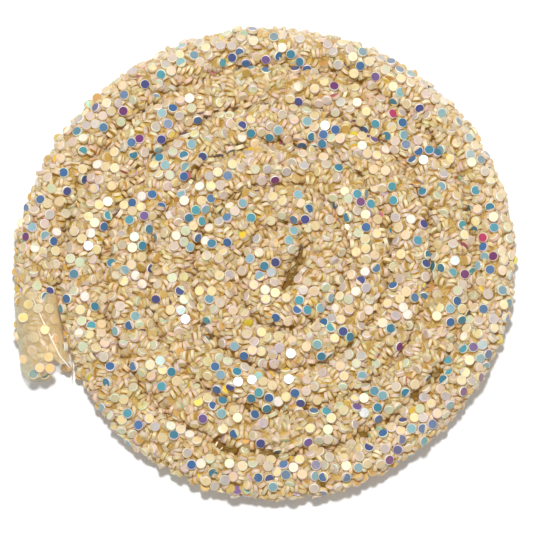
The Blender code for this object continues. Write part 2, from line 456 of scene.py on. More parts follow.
@dataclass
class SpiralRoute:
    """Where the cord lies, how wide and how tall it is, from the free end to the tucked inner end.

    Each row of the turns gives the distance of the cord's middle from the coil's centre at the eight
    compass points, from the west side clockwise. Fields are in mm, or in degrees where the name says so.
    """

    outer_edge: tuple[float, ...] = (58.6, 56.3, 52.3, 49.4, 47.0, 45.1, 48.3, 50.2)
    turns: tuple[tuple[float, ...], ...] = (
        (53.5, 51.4, 48.0, 45.1, 43.0, 41.6, 43.2, 45.1),
        (44.1, 42.4, 39.7, 36.7, 33.9, 32.5, 34.4, 35.7),
        (34.5, 33.3, 31.5, 28.5, 24.7, 23.9, 26.0, 26.9),
        (25.2, 24.2, 23.1, 19.8, 15.7, 15.6, 17.6, 18.1),
        (15.9, 15.6, 13.8, 9.6, 6.2, 6.4, 8.8, 8.2),
        (5.2, 4.9, 6.3, 6.9, 7.0, 7.0, 7.0, 7.0),
    )
    before_start: tuple[float, float] = (78.0, 55.9)
    edge_before_start: tuple[float, float] = (130.2, 60.2)
    centre: tuple[float, float] = (5.621, -2.217)
    start_deg: float = -20.6
    end_after_last_deg: float = 104.0
    film_mouth_deg: float = -24.2
    film_inner_deg: float = -5.8
    film_room: float = 0.66
    film_blend_deg: float = 9.0
    film_flare: float = 1.0
    film_flap: float = 2.2
    bare_mm: tuple[float, float] = (10.5, 13.0)
    film_end_height: float = 7.9
    nominal_width: float = 9.0
    nominal_height: float = 8.6
    max_height: float = 9.3
    pressed_wall: float = 1.8
    wall_start: float = 0.3
    free_half_width: float = 5.2
    bend_core: float = 0.5
    gap: float = 0.34
    neighbour_length: float = 12.0
    tip_length: float = 1.6
    smoothing_mm: float = 3.0
    last_edge_place: float = 15.9
    side_cosine: float = 0.5
    no_neighbour: float = 36.0
    seam_wall: float = 0.25
    half_step_deg: float = 0.5
    end_face_inset: float = 1.0
    table: dict[str, np.ndarray] = field(default_factory=dict)

    def spline(self, values: np.ndarray, position: np.ndarray) -> np.ndarray:
        """Read a smooth curve that evenly spaced values steer (a uniform cubic B-spline).

        Args:
            values: The steering values.
            position: Where to read it, counted in values.

        Returns:
            The curve's value at each position.
        """
        index = np.clip(np.floor(position).astype(int), 1, len(values) - 3)
        t = position - index
        a, b, c, d = (values[index + shift] for shift in (-1, 0, 1, 2))
        weights = ((1 - t) ** 3, 3 * t**3 - 6 * t**2 + 4, -3 * t**3 + 3 * t**2 + 3 * t + 1, t**3)
        return (weights[0] * a + weights[1] * b + weights[2] * c + weights[3] * d) / 6

    def centre_points(self, degrees: np.ndarray) -> np.ndarray:
        """The cord's middle, seen from above, at winding angles.

        Args:
            degrees: Winding angles.

        Returns:
            One point a row, in mm, in the part's frame.
        """
        radii = np.concatenate([self.before_start, np.ravel(self.turns)])
        radius = self.spline(radii, degrees * COMPASS_POINTS / 360 + len(self.before_start))
        turn = np.radians(degrees)
        across = np.stack([-radius * np.cos(turn), radius * np.sin(turn)], axis=1)
        return across + self.level_centre

    def survey(self) -> None:
        """Work out the table of sections, one for each degree, from the film's mouth to the inner end."""
        last = 360 * (len(self.turns) - 1) + self.end_after_last_deg
        degrees = np.concatenate([[self.film_mouth_deg], np.arange(self.start_deg, last, 1.0)])
        points = self.centre_points(degrees)
        step = self.half_step_deg
        along = self.centre_points(degrees + step) - self.centre_points(degrees - step)
        along /= np.linalg.norm(along, axis=1, keepdims=True)
        outward = np.stack([-along[:, 1], along[:, 0]], axis=1)
        steps = np.linalg.norm(np.diff(points, axis=0), axis=1)
        length = np.concatenate([[0.0], np.cumsum(steps)]) - steps[0]
        turning = np.abs(np.gradient(np.unwrap(np.arctan2(along[:, 1], along[:, 0])), length))
        bend = 1 / np.maximum(turning, TINY)
        outer = self.half_distance(points, outward, length) - self.gap / 2
        inner = self.half_distance(points, -outward, length) - self.gap / 2
        seam = np.mean(self.turns[:2], axis=0)
        edge_radii = np.concatenate([self.edge_before_start, self.outer_edge, seam])
        radius = np.linalg.norm(points - self.level_centre, axis=1)
        position = degrees * COMPASS_POINTS / 360 + len(self.edge_before_start)
        position = np.clip(position, 1, self.last_edge_place)
        free = degrees < 360 + self.start_deg
        pressed = np.clip((degrees - 360 - self.start_deg) * COMPASS_POINTS / 360, 0.0, 1.0)
        film_span = self.film_inner_deg - self.film_mouth_deg
        film = np.clip((self.film_inner_deg - degrees) / film_span, 0.0, 1.0)
        outer = np.where(free, self.spline(edge_radii, position) - radius, outer)
        roomy = self.free_half_width + self.film_flare * film
        inner = np.minimum(np.minimum(inner, roomy), bend - self.bend_core)
        outer = self.smooth(np.minimum(outer, self.nominal_width), length)
        inner = self.smooth(np.minimum(inner, self.nominal_width), length)
        top = self.nominal_height * np.sqrt(self.nominal_width / (outer + inner))
        top = np.minimum(top, self.max_height)
        top += (self.film_end_height - top) * film
        before = self.film_inner_deg + self.film_blend_deg - degrees
        fade = np.clip(before / self.film_blend_deg, 0.0, 1.0)
        sunk = self.film_room * fade * fade * (3 - 2 * fade)
        self.table = {
            "length": length,
            "x": points[:, 0],
            "y": points[:, 1],
            "out_x": outward[:, 0],
            "out_y": outward[:, 1],
            "film_outer": outer,
            "film_inner": inner,
            "film_top": top,
            "film_bottom": np.zeros(len(top)),
            "cord_outer": outer - sunk,
            "cord_inner": inner - sunk - self.film_flap * film,
            "cord_top": top - sunk,
            "cord_bottom": sunk,
            "outer_wall": self.pressed_wall * pressed,
            "inner_wall": self.pressed_wall * (1 - film),
        }

    def half_distance(self, points: np.ndarray, normal: np.ndarray, length: np.ndarray) -> np.ndarray:
        """Half the distance from each place to the next stretch of cord on one side, in mm.

        Args:
            points: Places along the cord.
            normal: The side to look to, at each place.
            length: How far each place is along the cord.

        Returns:
            Half the distance at each place.
        """
        offset = points[None, :, :] - points[:, None, :]
        distance = np.maximum(np.linalg.norm(offset, axis=2), TINY)
        facing = np.einsum("ijk,ik->ij", offset, normal) > self.side_cosine * distance
        apart = np.abs(length[None, :] - length[:, None]) > self.neighbour_length
        counted = length < length[-1] - self.tip_length
        nearest = np.where(facing & apart & counted[None, :], distance, np.inf).min(axis=1)
        return np.minimum(nearest, self.no_neighbour) / 2

    def smooth(self, values: np.ndarray, length: np.ndarray) -> np.ndarray:
        """Even out values along the cord.

        Args:
            values: One value for each place.
            length: How far each place is along the cord, in mm.

        Returns:
            Their running mean over the smoothing length.
        """
        total = np.concatenate([[0.0], np.cumsum((values[1:] + values[:-1]) / 2 * np.diff(length))])
        low = np.maximum(length - self.smoothing_mm / 2, length[0])
        high = np.minimum(length + self.smoothing_mm / 2, length[-1])
        return (np.interp(high, length, total) - np.interp(low, length, total)) / (high - low)

    @property
    def full_length(self) -> float:
        """The cord's length in mm."""
        return float(self.table["length"][-1])

    @property
    def level_centre(self) -> np.ndarray:
        """The coil's centre seen from above, in mm."""
        return np.array(self.centre)

    @property
    def floor_centre(self) -> np.ndarray:
        """The coil's centre on the surface that it rests on, in mm."""
        return np.array([*self.centre, 0.0])

    def read(self, name: str, along: np.ndarray) -> np.ndarray:
        """One column of the table at distances along the cord, in mm from the free end."""
        return np.interp(along, self.table["length"], self.table[name])

    def bare_share(self, along: np.ndarray) -> np.ndarray:
        """How bare of discs the cord is: 1 under most of the film, where the discs are shed, else 0."""
        return np.clip((self.bare_mm[1] - along) / np.ptp(self.bare_mm), 0.0, 1.0)

    def outward(self, along: np.ndarray) -> np.ndarray:
        """Level directions square to the cord, away from the coil's centre.

        Args:
            along: Distances from the free end, in mm.

        Returns:
            One unit vector a row.
        """
        out = np.stack([self.read("out_x", along), self.read("out_y", along)], axis=1)
        out /= np.linalg.norm(out, axis=1, keepdims=True)
        return np.concatenate([out, np.zeros((len(out), 1))], axis=1)

    def seam(self, count: int, rise: float) -> tuple[np.ndarray, "Patch"]:
        """Places along the seam between the turns, facing up.

        Args:
            count: How many, evenly spaced.
            rise: Their height over the top of the pressed walls, in mm.

        Returns:
            Distances along the cord, in mm, and the places.
        """
        pressed = self.table["length"][self.table["outer_wall"] > self.seam_wall * self.pressed_wall]
        along = np.linspace(pressed[0], pressed[-1], count)
        out = self.outward(along)
        height = self.read("cord_top", along) / 2 + self.pressed_wall + rise
        middle = np.stack([self.read("x", along), self.read("y", along), height], axis=1)
        point = middle + out * (self.read("cord_outer", along) + self.gap / 2)[:, None]
        tangent = np.stack([out[:, 1], -out[:, 0], np.zeros(count)], axis=1)
        return along, Patch(point, np.tile(UP, (count, 1)), tangent, out)

    def end_face(self, along: float, radial: np.ndarray, turn: np.ndarray, forward: float) -> "Patch":
        """Places on a cut across the cord.

        Args:
            along: Where the cut is, in mm from the free end.
            radial: How far out on the cut each place is, from 0 to 1.
            turn: The angle of each place on the cut, in radians.
            forward: 1 for a cut that faces on along the cord, -1 for one that faces back.

        Returns:
            The places, with their directions.
        """
        skin = self.surface(np.full(len(turn), along), np.degrees(turn), -self.end_face_inset)
        half_height = self.read("cord_top", along) / 2
        middle = np.array([self.read("x", along), self.read("y", along), half_height])
        point = middle + (skin.point - middle) * radial[:, None]
        return Patch(point, skin.along * forward, skin.across, skin.normal)

    def surface(
        self, along: np.ndarray, round_deg: np.ndarray, lift: float, skin: Skin = Skin.CORD
    ) -> "Patch":
        """Places on the cord's or the film's outside.

        Args:
            along: Distance from the free end, in mm.
            round_deg: Angle round the section: 0 at the crest, 90 at the outer side.
            lift: Height over the surface, in mm.
            skin: Whose outside.

        Returns:
            The places, with their directions.
        """
        turn = np.radians(round_deg)
        side, up = np.sin(turn), np.cos(turn)
        outer, inner, top, bottom = (
            self.read(f"{skin.value}_{name}", along) for name in ("outer", "inner", "top", "bottom")
        )
        reach = np.where(side > 0, outer, inner)
        wall = np.where(side > 0, self.read("outer_wall", along), self.read("inner_wall", along))
        half_height = (top - bottom) / 2
        out = self.outward(along)
        upward = np.array(UP)
        rise = (half_height - wall) * up + wall * np.clip(up / self.wall_start, -1.0, 1.0)
        normal = out * (side / reach)[:, None] + upward * (up / (half_height - wall))[:, None]
        normal /= np.linalg.norm(normal, axis=1, keepdims=True)
        middle = np.stack([self.read("x", along), self.read("y", along), (top + bottom) / 2], axis=1)
        point = middle + out * (side * reach)[:, None] + upward * rise[:, None]
        tangent = np.stack([out[:, 1], -out[:, 0], np.zeros(len(out))], axis=1)
        return Patch(point + normal * lift, normal, tangent, np.cross(normal, tangent))


@dataclass
class Patch:
    """Places on a surface, one a row: points in mm, and three square directions at each."""

    point: np.ndarray
    normal: np.ndarray
    along: np.ndarray
    across: np.ndarray

    def pick(self, rows: np.ndarray) -> "Patch":
        """The same places, only some of them."""
        return Patch(self.point[rows], self.normal[rows], self.along[rows], self.across[rows])

    def joined(self, other: "Patch") -> "Patch":
        """These places and then the other's."""
        names = ("point", "normal", "along", "across")
        return Patch(*(np.concatenate([getattr(self, name), getattr(other, name)]) for name in names))


def level_patch(points: np.ndarray) -> Patch:
    """Places that all face up, at points in mm."""
    return Patch(points, *(np.tile(axis, (len(points), 1)) for axis in (UP, EAST, NORTH)))


def finish_piece(piece: bpy.types.Object, node: str) -> bpy.types.Object:
    """Make a piece ride with the part and stand for one of its nodes.

    Args:
        piece: The new object.
        node: The node that it stands for.

    Returns:
        The same object.
    """
    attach(piece, BODY)
    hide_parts(node)
    log.info("%s: %d faces", piece.name, len(piece.data.polygons))
    return piece


def new_object(name: str, mesh: bpy.types.Mesh, material: bpy.types.Material) -> bpy.types.Object:
    """Make an object and put it in the scene.

    Args:
        name: Its name.
        mesh: Its mesh.
        material: Its material.

    Returns:
        The object.
    """
    mesh.materials.append(material)
    piece = bpy.data.objects.new(name, mesh)
    bpy.context.scene.collection.objects.link(piece)
    return piece


def grid_mesh(name: str, rings: np.ndarray, capped: bool) -> bpy.types.Mesh:
    """A tube through rings of points.

    Args:
        name: The mesh's name.
        rings: Points in mm, by ring and by place in the ring.
        capped: Whether flat faces close its ends.

    Returns:
        The mesh, in metres, with its faces outward.
    """
    count, sides = rings.shape[:2]
    faces = []
    for ring in range(count - 1):
        for side in range(sides):
            after = (side + 1) % sides
            first, second = ring * sides, (ring + 1) * sides
            faces.append((first + side, second + side, second + after, first + after))
    if capped:
        faces.append(tuple(range(sides)))
        faces.append(tuple(reversed(range((count - 1) * sides, count * sides))))
    mesh = bpy.data.meshes.new(name)
    mesh.from_pydata((rings.reshape(-1, 3) * MM).tolist(), [], faces)
    mesh.shade_smooth()
    return mesh


@dataclass
class ClothCore:
    """The soft knitted core that the discs are fixed to: one tube along the whole route."""

    route: SpiralRoute
    inset: float = 1.3
    bare_inset: float = 0.9
    floor_gap: float = 0.5
    step: float = 1.4
    sides: int = 20
    lump: float = 0.18
    lumps_per_mm: float = 0.7
    path_step: float = 4.0
    diameter_m: float = 0.009

    def build(self) -> bpy.types.Object:
        """Returns:
            The core's object.
        """
        route = self.route
        stations = np.arange(self.bare_inset, route.full_length - self.inset, self.step)
        round_deg = np.arange(self.sides) * 360 / self.sides
        rings = []
        for along in stations:
            inset = self.inset + (self.bare_inset - self.inset) * route.bare_share(along)
            patch = route.surface(np.full(self.sides, along), round_deg, -inset)
            bumps = [noise.noise(Vector(point) * self.lumps_per_mm) * self.lump for point in patch.point]
            ring = patch.point + patch.normal * np.array(bumps)[:, None]
            ring[:, 2] = np.maximum(ring[:, 2], self.floor_gap)
            rings.append(ring)
        mesh = grid_mesh("cloth_core", np.array(rings), capped=True)
        core = new_object("cloth_core", mesh, ClothFinish().material())
        return finish_piece(core, CORD_NODE)

    def declare(self, covers: list[bpy.types.Object]) -> None:
        """Work out points along the cord's middle, in metres, which are then left unused.

        Args:
            covers: The pieces that lie on it; not used.
        """
        route = self.route
        along = np.linspace(0, route.full_length, round(route.full_length / self.path_step) + 1)
        height = (route.read("cord_top", along) + route.read("cord_bottom", along)) / 2
        path = np.stack([route.read("x", along), route.read("y", along), height], axis=1) * MM


class Lean(Enum):
    """How a disc's face is turned, from north to south; each lean gets its own tints, a painted reflection
    of the colours that the pearly coat shows toward the light.
    """

    NORTH = "north"
    LEVEL = "level"
    SLIGHT_SOUTH = "slight_south"
    SOUTH = "south"
    STEEP_SOUTH = "steep_south"


@dataclass(frozen=True)
class Tint:
    """One colour of the discs, and how common it is for each lean; the weights by lean paint the pearly
    coat's reflection.
    """

    color: Color
    level: float
    north: float
    slight_south: float
    south: float
    steep_south: float


# the discs' colours, weighted by lean so that blues and whites fall where the pearly coat would reflect
# them: painted reflection
TINTS = (
    Tint((0.96, 0.94, 0.88), 6, 6, 4, 1.5, 1),
    Tint((0.95, 0.88, 0.68), 22, 12, 10, 4, 2),
    Tint((0.94, 0.84, 0.71), 15, 9, 8, 4, 2),
    Tint((0.86, 0.79, 0.63), 20, 20, 10, 12, 24),
    Tint((0.82, 0.76, 0.71), 10, 17, 9, 6, 10),
    Tint((0.74, 0.72, 0.72), 6, 9, 12, 6, 3),
    Tint((0.80, 0.83, 0.71), 6, 8, 3, 3, 8),
    Tint((0.96, 0.88, 0.45), 0.5, 1, 0.5, 0.6, 1.5),
    Tint((0.50, 0.69, 0.74), 4, 3, 13, 10, 3),
    Tint((0.24, 0.61, 0.68), 4, 4, 10, 14, 5),
    Tint((0.07, 0.49, 0.61), 4, 5, 9, 18, 8),
    Tint((0.07, 0.40, 0.62), 3.5, 5, 7, 18, 10),
    Tint((0.28, 0.48, 0.65), 1.2, 1.2, 3.5, 4, 4),
    Tint((0.16, 0.28, 0.55), 1.3, 2, 2.2, 9, 10),
    Tint((0.42, 0.34, 0.60), 0.5, 1.2, 0.8, 4, 5),
    Tint((0.40, 0.15, 0.46), 0.4, 0.8, 0.6, 3, 5),
    Tint((0.72, 0.18, 0.44), 0.2, 0.4, 0.3, 1, 2),
)
EDGE_TINTS = (
    (0.85, 0.78, 0.65), (0.83, 0.76, 0.58), (0.87, 0.78, 0.70), (0.81, 0.78, 0.66), (0.89, 0.85, 0.73),
    (0.84, 0.78, 0.73),
)
# partly the discs' colour, partly painted shade: discs standing on edge get amber faces and bevels for the
# shade between them in their stacks
BEVEL_TINTS = ((0.80, 0.68, 0.42), (0.83, 0.72, 0.47), (0.78, 0.66, 0.38))
AMBER_SHADE_TINTS = ((0.80, 0.67, 0.40), (0.77, 0.63, 0.35), (0.82, 0.72, 0.47), (0.80, 0.69, 0.47))
# painted glints: vivid colours that stand in for small coloured reflections among the standing discs
GLINT_TINTS = (
    (0.96, 0.90, 0.30), (0.94, 0.80, 0.25), (0.76, 0.40, 0.58), (0.46, 0.38, 0.64), (0.66, 0.88, 0.80),
    (0.82, 0.76, 0.94), (0.95, 0.78, 0.54),
)
MILKY_TINTS = (
    (0.85, 0.80, 0.71), (0.80, 0.76, 0.68), (0.86, 0.82, 0.68), (0.79, 0.76, 0.74), (0.80, 0.85, 0.74),
    (0.88, 0.80, 0.71), (0.90, 0.84, 0.62),
)
WARM_TINTS = (
    (0.99, 0.84, 0.62), (0.97, 0.80, 0.60), (0.95, 0.88, 0.58), (0.88, 0.80, 0.64), (0.86, 0.82, 0.70),
)
# painted highlight: pale rims that stand in for the glints on the discs' rounded edges
RIM_HIGHLIGHT_TINTS = (
    (0.93, 0.91, 0.92), (0.94, 0.90, 0.80), (0.87, 0.80, 0.89), (0.83, 0.93, 0.85), (0.88, 0.80, 0.64),
)


@dataclass(frozen=True)
class DiscShape:
    """One flat pellet, in mm; its upper edge, or both, may be softened by a bevel.

    A segment of the upper face, as many sides wide as said, may have a tint of its own.
    """

    sides: int
    radius: float = 1.06
    thickness: float = 0.85
    bevel: float = 0.13
    bevels: int = 2
    segment: int = 0

    def rings(self) -> list[tuple[float, float]]:
        """Work out the rings of points.

        Returns:
            The radius and the height of each ring, from below.
        """
        half = self.thickness / 2
        lower = [(self.radius - self.bevel, -half), (self.radius, self.bevel - half)]
        upper = [(self.radius, half - self.bevel), (self.radius - self.bevel, half)]
        if self.bevels < 2:
            lower = [(self.radius, -half)]
        if self.bevels < 1:
            upper = [(self.radius, half)]
        return lower + upper

    def points(self) -> np.ndarray:
        """Work out the pellet's points, with its axis along +Z.

        Returns:
            One point a row, ring after ring.
        """
        turn = np.arange(self.sides) * 2 * math.pi / self.sides
        parts = []
        for radius, height in self.rings():
            circle = [radius * np.cos(turn), radius * np.sin(turn), np.full(self.sides, height)]
            parts.append(np.stack(circle, axis=1))
        return np.concatenate(parts)

    def faces(self) -> tuple[list[tuple[int, ...]], list[int]]:
        """The pellet's faces and their zones.

        Returns:
            The faces, as point numbers, and a zone for each: 0 on a flat face, 1 on a bevel, 2 on
            the edge and 3 on the segment of the upper face that has a tint of its own.
        """
        rings = self.rings()
        faces = [tuple(reversed(range(self.sides)))]
        zones = [0]
        for ring in range(len(rings) - 1):
            bevel = abs(rings[ring][0] - rings[ring + 1][0]) > 0
            for side in range(self.sides):
                after = (side + 1) % self.sides
                low, high = ring * self.sides, (ring + 1) * self.sides
                faces.append((low + side, low + after, high + after, high + side))
                zones.append(1 if bevel else 2)
        last = (len(rings) - 1) * self.sides
        closing = (last,) if self.segment else ()
        faces.append(tuple(range(last + self.segment, last + self.sides)) + closing)
        zones.append(0)
        if self.segment:
            faces.append(tuple(range(last, last + self.segment + 1)))
            zones.append(3)
        return faces, zones


@dataclass
class DiscBatch:
    """Many discs of one shape: their places, axes and tints."""

    shape: DiscShape
    point: np.ndarray
    axis: np.ndarray
    tints: np.ndarray
    along: np.ndarray

    def between(self, start: float, end: float) -> "DiscBatch":
        """The discs of one stretch of the cord.

        Args:
            start: Where the stretch starts, in mm from the free end.
            end: Where it ends.

        Returns:
            Those discs.
        """
        rows = (self.along >= start) & (self.along < end)
        return self.pick(rows)

    def pick(self, rows: np.ndarray) -> "DiscBatch":
        """The same discs, only some of them."""
        kept = (values[rows] for values in (self.point, self.axis, self.tints, self.along))
        return DiscBatch(self.shape, *kept)

    def points(self) -> np.ndarray:
        """All the discs' points, in mm, kept above the surface that the coil rests on.

        Returns:
            One point a row, disc after disc.
        """
        level = np.abs(self.axis[:, 2:]) > LEVEL_COSINE
        helper = np.where(level, [EAST], [UP])
        first = np.cross(helper, self.axis)
        first /= np.linalg.norm(first, axis=1, keepdims=True)
        second = np.cross(self.axis, first)
        spin = (np.arange(len(first)) * GOLDEN_ANGLE)[:, None]
        cosine, sine = np.cos(spin), np.sin(spin)
        first, second = first * cosine + second * sine, second * cosine - first * sine
        local = self.shape.points()
        places = (
            self.point[:, None, :]
            + local[None, :, 0:1] * first[:, None, :]
            + local[None, :, 1:2] * second[:, None, :]
            + local[None, :, 2:3] * self.axis[:, None, :]
        )
        sunk = np.minimum(places[:, :, 2].min(axis=1), 0.0)
        places[:, :, 2] -= sunk[:, None]
        return places.reshape(-1, 3)


def join_discs(name: str, batches: list[DiscBatch], material: bpy.types.Material) -> bpy.types.Object:
    """Join batches of discs into one object.

    Args:
        name: The object's name.
        batches: The discs.
        material: Their material.

    Returns:
        The object; its faces carry the discs' tints.
    """
    points, loops, counts, colors = [], [], [], []
    offset = 0
    for batch in batches:
        faces, zones = batch.shape.faces()
        number = len(batch.point)
        local = np.concatenate([np.array(face) for face in faces])
        size = batch.shape.sides * len(batch.shape.rings())
        starts = offset + np.arange(number) * size
        points.append(batch.points())
        loops.append((local[None, :] + starts[:, None]).ravel())
        counts.append(np.tile([len(face) for face in faces], number))
        colors.append(batch.tints[:, np.array(zones), :].reshape(-1, 4))
        offset += number * size
    all_points = np.concatenate(points)
    all_loops = np.concatenate(loops)
    all_counts = np.concatenate(counts)
    mesh = bpy.data.meshes.new(name)
    mesh.vertices.add(len(all_points))
    mesh.vertices.foreach_set("co", (all_points * MM).ravel())
    mesh.loops.add(len(all_loops))
    mesh.loops.foreach_set("vertex_index", all_loops)
    mesh.polygons.add(len(all_counts))
    mesh.polygons.foreach_set("loop_start", np.concatenate([[0], np.cumsum(all_counts)[:-1]]))
    mesh.update(calc_edges=True)
    mesh.validate()
    tint = mesh.attributes.new("tint", "FLOAT_COLOR", "FACE")
    tint.data.foreach_set("color", np.concatenate(colors).ravel())
    mesh.shade_smooth()
    mesh.set_sharp_from_angle(angle=SHARP_EDGE)
    return new_object(name, mesh, material)


@dataclass(frozen=True)
class Gap:
    """A narrow dark gap between turns, from a start to an end, in mm from the coil's centre.

    Standing discs sink in it by its depth and take a painted shade, and dark discs that stand in for its
    shadow lie at about the height of its floor. Its depth fades over the given share of its half width.
    """

    start: tuple[float, float]
    end: tuple[float, float]
    half_width: float
    depth: float
    floor: float
    fade: float = 0.3

    def share(self, points: np.ndarray) -> np.ndarray:
        """How far each point lies in the gap: 1 in its middle, fading to 0 at its border.

        Args:
            points: Places seen from above, in mm from the coil's centre.

        Returns:
            A share from 0 to 1 for each place.
        """
        start, line = np.array(self.start), np.subtract(self.end, self.start)
        where = np.clip((points - start) @ line / (line @ line), 0.0, 1.0)
        distance = np.linalg.norm(points - start - where[:, None] * line, axis=1)
        return np.clip((self.half_width - distance) / (self.fade * self.half_width), 0.0, 1.0)


@dataclass(frozen=True)
class Layer:
    """Where one kind of disc is placed: at random, but apart from each other by the spacing.

    Places are tried between two angles round the cord (0 at the crest, 90 at the outer side). The lift
    is the height over the cord's surface, in mm.
    """

    tries: int
    low_deg: float
    high_deg: float
    lift: float
    spacing: float


FLAT_LAYER = Layer(26000, -88, 88, lift=-0.12, spacing=1.78)
TILTED_LAYER = Layer(9000, -92, 92, lift=-0.5, spacing=1.9)
STANDING_LAYER = Layer(40000, -96, 96, lift=-1.0, spacing=1.85)
DEEP_LAYER = Layer(20000, -84, 84, lift=-1.5, spacing=2.05)
UNDER_LAYER = Layer(30000, 88, 272, lift=-0.45, spacing=2.0)

FLAT_SHAPE = DiscShape(14, bevels=1, segment=5)
CAUGHT_SHAPE = DiscShape(14, bevels=1)
TILTED_SHAPE = DiscShape(11, bevels=1)
STANDING_SHAPE = DiscShape(9)
SHADED_SHAPE = DiscShape(9, bevels=1)
HIDDEN_SHAPE = DiscShape(8, bevels=0)


@dataclass
class DiscCover:
    """The cord's cover: flat discs, lying, tilted or packed on edge in small stacks.

    Lengths are in mm and shares run from 0 to 1. Tilts are sines, and shades multiply a tint. The lean
    limits are how far a disc's axis points south where one lean gives way to the next. A row of the
    caught discs is a place from the coil's centre and a tint.
    """

    route: SpiralRoute
    seed: int = 5
    stretches: int = 9
    end_room: tuple[float, float] = (0.4, 0.6)
    tail_room: float = 1.0
    flat_tilt: float = 0.2
    flat_base: float = -0.01
    crest_flats: float = 0.16
    crest_deg: float = 48.0
    clump_flats: float = 0.42
    clump_mm: float = 6.5
    bare_flats: float = 0.05
    rim_flats: float = 0.16
    rim_towards: tuple[float, float] = (0.5, 0.45)
    rim_base: float = 0.5
    free_wall: float = 0.5
    # painted light: rim discs are mixed toward this pale colour by the share, as if lit through from behind
    rim_backlight: Color = (0.97, 0.94, 0.87)
    rim_backlight_share: float = 0.24
    lean_limits: tuple[float, ...] = (-0.07, 0.09, 0.22, 0.52)
    face_spread: float = 0.05
    bevel_gloss: float = 0.6
    tilted_share: float = 0.18
    tilted_deg: tuple[float, float] = (24.0, 62.0)
    tilted_colored: float = 0.16
    tilted_rim: float = 0.94
    stack_odds: tuple[float, ...] = (0.08, 0.30, 0.40, 0.22)
    stack_pitch: float = 0.9
    stack_tilt: float = 0.19
    stack_face_spread: float = 0.1
    stack_bevel_spread: float = 0.08
    press_reach: float = 1.5
    least_height: float = 1.2
    # painted shade for the discs under the standing ones
    deep_shade: Color = (0.88, 0.85, 0.80)
    scatter: float = 0.2
    seam_rise: float = 0.3
    # painted shade: standing discs that sit low, toward the seams between turns, are darkened by the seam
    # shade
    seam_heights: tuple[float, float] = (5.0, 7.2)
    seam_shade: Color = (0.79, 0.72, 0.58)
    seam_spacing: float = 1.9
    sink_near_flat: float = 0.5
    glint_share: float = 0.13
    two_toned_share: float = 0.2
    side_scatter: float = 1.35
    film_lift: float = 0.3
    tuck: Triple = (2.4, 7.2, 6.2)
    tuck_spread: Triple = (0.8, 1.9, 0.5)
    tuck_count: int = 46
    shaded_least: int = 4
    shaded_per_mm: float = 11.0
    shaded_across: float = 0.65
    shaded_height: float = 1.0
    shaded_tilt: float = 0.4
    # painted shade for the gaps: it darkens the standing discs in them and the dark discs at their bottoms
    shade: Color = (0.34, 0.29, 0.17)
    end_count: int = 26
    end_inset: float = 0.9
    caught_lean: Triple = (-0.14, 0.12, 0.98)
    caught_tilt: float = 0.06
    caught_along: float = 0.5
    caught: tuple[tuple[float, ...], ...] = (
        (-53.7, -22.4, 7.0, 0.50, 0.64, 0.64), (-52.3, -21.2, 7.9, 0.99, 0.84, 0.64),
        (-50.2, -21.3, 7.7, 0.97, 0.80, 0.52), (-51.4, -22.3, 6.2, 0.36, 0.50, 0.52),
        (-54.8, -19.5, 5.6, 0.52, 0.64, 0.62), (-50.4, -19.0, 8.0, 0.98, 0.84, 0.62),
    )
    gaps: tuple[Gap, ...] = (
        Gap((1.4, 3.2), (0.9, 1.7), 1.35, 5.0, 3.0),
        Gap((0.9, 1.7), (0.2, -0.5), 1.5, 5.4, 3.0),
        Gap((0.2, -0.5), (-0.5, -2.6), 1.65, 5.4, 3.0),
        Gap((-0.5, -2.6), (-1.1, -4.5), 1.4, 5.0, 3.0),
        Gap((-15.2, -37.3), (-12.4, -38.0), 1.2, 2.8, 4.8),
        Gap((-5.6, -39.0), (-3.8, -39.1), 1.1, 2.4, 4.8),
        Gap((25.4, -26.6), (26.0, -27.2), 1.3, 2.4, 4.8),
        Gap((30.2, -21.6), (30.8, -22.1), 1.2, 2.2, 4.8),
        Gap((13.8, -34.8), (15.6, -34.2), 0.7, 2.2, 4.8),
        Gap((-9.6, -28.4), (-8.2, -28.8), 0.6, 1.8, 4.8),
    )

    def __post_init__(self) -> None:
        """Seed the random numbers."""
        self.rng = np.random.default_rng(self.seed)

    def spaced(self, points: np.ndarray, spacing: float) -> np.ndarray:
        """Choose points that are not too close to each other.

        Args:
            points: Candidates, in the order in which they are tried.
            spacing: The least distance between two chosen ones.

        Returns:
            The numbers of the chosen ones.
        """
        cells: dict[tuple[int, int, int], list[tuple[float, ...]]] = {}
        chosen = []
        keys = np.floor(points / spacing).astype(int).tolist()
        around = [(i, j, k) for i in (-1, 0, 1) for j in (-1, 0, 1) for k in (-1, 0, 1)]
        limit = spacing * spacing
        for number, (point, key) in enumerate(zip(points.tolist(), keys)):
            x, y, z = point
            beside = (cells.get((key[0] + i, key[1] + j, key[2] + k), ()) for i, j, k in around)
            near = (other for cell in beside for other in cell)
            if all((x - a) ** 2 + (y - b) ** 2 + (z - c) ** 2 >= limit for a, b, c in near):
                cells.setdefault(tuple(key), []).append((x, y, z))
                chosen.append(number)
        return np.array(chosen)

    def candidates(self, layer: Layer) -> tuple[np.ndarray, np.ndarray]:
        """Random places on the cord.

        Args:
            layer: The layer that they are for.

        Returns:
            Distances along the cord, in mm, and angles round it.
        """
        start, room = self.end_room
        along = self.rng.uniform(start, self.route.full_length - room, layer.tries)
        return along, self.rng.uniform(layer.low_deg, layer.high_deg, layer.tries)

